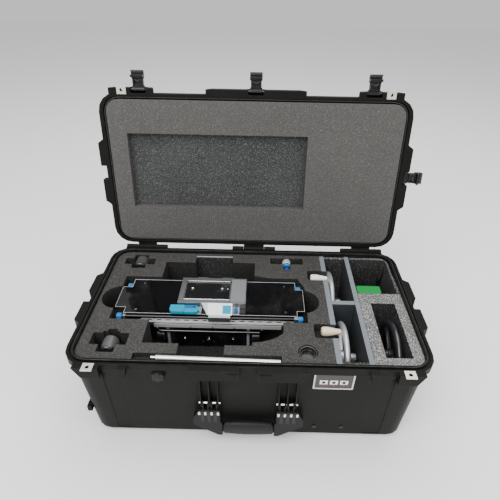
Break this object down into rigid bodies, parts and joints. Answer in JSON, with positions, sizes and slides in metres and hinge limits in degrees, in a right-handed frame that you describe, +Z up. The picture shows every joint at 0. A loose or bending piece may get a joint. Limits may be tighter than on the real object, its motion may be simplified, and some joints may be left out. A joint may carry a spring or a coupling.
{
  "type": "camera slider kit in hard transit case",
  "caption": "Open hard transit case with cut foam that holds a hand-cranked camera slider, its carriage, handwheels, knobs, rod, ring and a small case.",
  "frame": {"origin": "middle of the case's flat underside", "axes": "+X to the right along the case's length, +Y to the hinge side, +Z up"},
  "size_m": [0.808, 0.5257, 0.6969],
  "materials": {
    "case_shell": "satin textured moulded plastic",
    "rubber": "matt rubber",
    "steel": "plain turned steel",
    "hasp_steel": "satin stamped steel",
    "label": "printed aluminium plate",
    "case_foam": "cut closed-cell foam",
    "lid_foam": "cut closed-cell foam, lighter",
    "divider": "light grey foam board",
    "slider_silver": "satin machined aluminium",
    "deck_gloss": "gloss black",
    "drive_black": "satin black panel",
    "window": "gloss black inlay",
    "anodised_blue": "bright blue anodised",
    "wheel_silver": "turned aluminium",
    "wheel_black": "gloss black",
    "grip_white": "white plastic",
    "grip_wood": "pale lacquered wood",
    "knob_black": "satin black",
    "knob_silver": "satin aluminium",
    "green": "green plastic"
  },
  "bodies": {
    "case_base": {"base_shell": "case_shell", "main_foam": "case_foam", "bay_liner": "case_foam", "insert_foam": "case_foam", "divider_left": "divider", "divider_right": "divider", "divider_cross": "divider", "hinge_pin_left": "steel", "hinge_pin_centre": "steel", "hinge_pin_right": "steel", "hasp_plate_base_left": "hasp_steel", "hasp_plate_base_right": "hasp_steel", "label_plate": "label", "handle_pin_left": "steel", "handle_pin_right": "steel"},
    "lid": {"lid_shell": "case_shell", "lid_foam": "lid_foam", "lid_gasket": "rubber", "hasp_plate_lid_left": "hasp_steel", "hasp_plate_lid_right": "hasp_steel", "latch_pin_left": "steel", "latch_pin_centre": "steel", "latch_pin_right": "steel", "latch_pin_side": "steel"},
    "latch_left": {"latch_left": "case_shell"},
    "latch_centre": {"latch_centre": "case_shell"},
    "latch_right": {"latch_right": "case_shell"},
    "latch_side": {"latch_side": "case_shell"},
    "front_handle": {"front_handle": "case_shell", "front_grip": "rubber"},
    "side_handle_left": {"side_handle_left": "case_shell"},
    "side_handle_right": {"side_handle_right": "case_shell"},
    "valve_knob": {"valve_knob": "rubber"},
    "slider": {"deck_frame": "slider_silver", "deck_plate": "deck_gloss", "slotted_rack": "slider_silver", "front_rail": "steel", "carry_bar": "steel", "drive_box": "drive_black", "support_post_left": "steel", "support_post_right": "steel"},
    "carriage": {"carriage": "slider_silver", "carriage_window": "window"},
    "lock_lever": {"lock_lever": "anodised_blue"},
    "thumb_screw": {"thumb_screw": "anodised_blue"},
    "handwheel_rear": {"handwheel_rear": "wheel_silver"},
    "wheel_grip_rear": {"wheel_grip_rear": "grip_white"},
    "handwheel_front": {"handwheel_front": "wheel_silver"},
    "wheel_grip_front": {"wheel_grip_front": "grip_wood"},
    "handwheel_black": {"handwheel_black": "wheel_black"},
    "clamp_knob_rear": {"clamp_knob_rear": "knob_black"},
    "clamp_knob_front": {"clamp_knob_front": "knob_black"},
    "lens_knob": {"lens_knob": "knob_silver"},
    "support_rod": {"support_rod": "steel"},
    "adapter_ring": {"adapter_ring": "rubber"},
    "green_case": {"green_case": "green"},
    "rail_knob_front_left": {"rail_knob_front_left": "anodised_blue"},
    "rail_knob_front_right": {"rail_knob_front_right": "anodised_blue"},
    "rail_knob_rear_left": {"rail_knob_rear_left": "anodised_blue"},
    "rail_knob_rear_right": {"rail_knob_rear_right": "anodised_blue"}
  },
  "joints": [
    {"name": "lid_hinge", "type": "hinge", "parent": "case_base", "child": "lid", "pos_m": [0, 0.206, 0.25], "axis": [1, 0, 0], "range_deg": [0, 97.64]},
    {"name": "latch_left_hinge", "type": "hinge", "parent": "lid", "child": "latch_left", "pos_m": [-0.275, 0.27231, 0.65377], "axis": [1, 0, 0], "range_deg": [0, 90]},
    {"name": "latch_centre_hinge", "type": "hinge", "parent": "lid", "child": "latch_centre", "pos_m": [0, 0.27231, 0.65377], "axis": [1, 0, 0], "range_deg": [0, 90]},
    {"name": "latch_right_hinge", "type": "hinge", "parent": "lid", "child": "latch_right", "pos_m": [0.275, 0.27231, 0.65377], "axis": [1, 0, 0], "range_deg": [0, 90]},
    {"name": "latch_side_hinge", "type": "hinge", "parent": "lid", "child": "latch_side", "pos_m": [0.379, 0.2453, 0.45257], "axis": [0, -0.133, -0.9911], "range_deg": [0, 90]},
    {"name": "front_handle_hinge", "type": "hinge", "parent": "case_base", "child": "front_handle", "pos_m": [0, -0.193, 0.136], "axis": [-1, 0, 0], "range_deg": [0, 90]},
    {"name": "side_handle_left_hinge", "type": "hinge", "parent": "case_base", "child": "side_handle_left", "pos_m": [-0.368, 0, 0.15], "axis": [0, 1, 0], "range_deg": [0, 90]},
    {"name": "side_handle_right_hinge", "type": "hinge", "parent": "case_base", "child": "side_handle_right", "pos_m": [0.368, 0, 0.15], "axis": [0, -1, 0], "range_deg": [0, 90]},
    {"name": "valve_turn", "type": "hinge", "parent": "case_base", "child": "valve_knob", "pos_m": [-0.181, -0.195, 0.219], "axis": [0, 1, 0], "range_deg": [0, 90]},
    {"name": "slider_lift", "type": "slide", "parent": "case_base", "child": "slider", "axis": [0, 0, -1], "range_m": [-0.15, 0]},
    {"name": "carriage_slide", "type": "slide", "parent": "slider", "child": "carriage", "axis": [1, 0, 0], "range_m": [-0.1, 0.11]},
    {"name": "lock_lever_hinge", "type": "hinge", "parent": "carriage", "child": "lock_lever", "pos_m": [-0.128, -0.0385, 0.25], "axis": [0, 0, 1], "range_deg": [0, 40]},
    {"name": "thumb_screw_turn", "type": "hinge", "parent": "carriage", "child": "thumb_screw", "pos_m": [-0.034, -0.038, 0.252], "axis": [0, 0, 1], "continuous": true},
    {"name": "rail_knob_front_left_turn", "type": "hinge", "parent": "slider", "child": "rail_knob_front_left", "pos_m": [-0.296, -0.048, 0.2385], "axis": [1, 0, 0], "continuous": true},
    {"name": "rail_knob_front_right_turn", "type": "hinge", "parent": "slider", "child": "rail_knob_front_right", "pos_m": [0.111, -0.048, 0.2385], "axis": [1, 0, 0], "continuous": true},
    {"name": "rail_knob_rear_left_turn", "type": "hinge", "parent": "slider", "child": "rail_knob_rear_left", "pos_m": [-0.296, 0.054, 0.2385], "axis": [1, 0, 0], "continuous": true},
    {"name": "rail_knob_rear_right_turn", "type": "hinge", "parent": "slider", "child": "rail_knob_rear_right", "pos_m": [0.111, 0.054, 0.2385], "axis": [1, 0, 0], "continuous": true},
    {"name": "handwheel_rear_lift", "type": "slide", "parent": "case_base", "child": "handwheel_rear", "axis": [0, 0, -1], "range_m": [-0.2, 0]},
    {"name": "wheel_grip_rear_turn", "type": "hinge", "parent": "handwheel_rear", "child": "wheel_grip_rear", "pos_m": [0.168, 0.101, 0.237], "axis": [1, 0, 0], "continuous": true},
    {"name": "handwheel_front_lift", "type": "slide", "parent": "case_base", "child": "handwheel_front", "axis": [0, 0, -1], "range_m": [-0.2, 0]},
    {"name": "wheel_grip_front_turn", "type": "hinge", "parent": "handwheel_front", "child": "wheel_grip_front", "pos_m": [0.177, -0.08, 0.237], "axis": [1, 0, 0], "continuous": true},
    {"name": "handwheel_black_lift", "type": "slide", "parent": "case_base", "child": "handwheel_black", "axis": [0, 0, -1], "range_m": [-0.2, 0]},
    {"name": "clamp_knob_rear_lift", "type": "slide", "parent": "case_base", "child": "clamp_knob_rear", "axis": [0, 0, -1], "range_m": [-0.1, 0]},
    {"name": "clamp_knob_front_lift", "type": "slide", "parent": "case_base", "child": "clamp_knob_front", "axis": [0, 0, -1], "range_m": [-0.1, 0]},
    {"name": "lens_knob_lift", "type": "slide", "parent": "case_base", "child": "lens_knob", "axis": [0, 0, -1], "range_m": [-0.1, 0]},
    {"name": "support_rod_lift", "type": "slide", "parent": "case_base", "child": "support_rod", "axis": [0, 0, -1], "range_m": [-0.1, 0]},
    {"name": "adapter_ring_lift", "type": "slide", "parent": "case_base", "child": "adapter_ring", "axis": [0, 0, -1], "range_m": [-0.1, 0]},
    {"name": "green_case_lift", "type": "slide", "parent": "case_base", "child": "green_case", "axis": [0, 0, -1], "range_m": [-0.2, 0]}
  ]
}
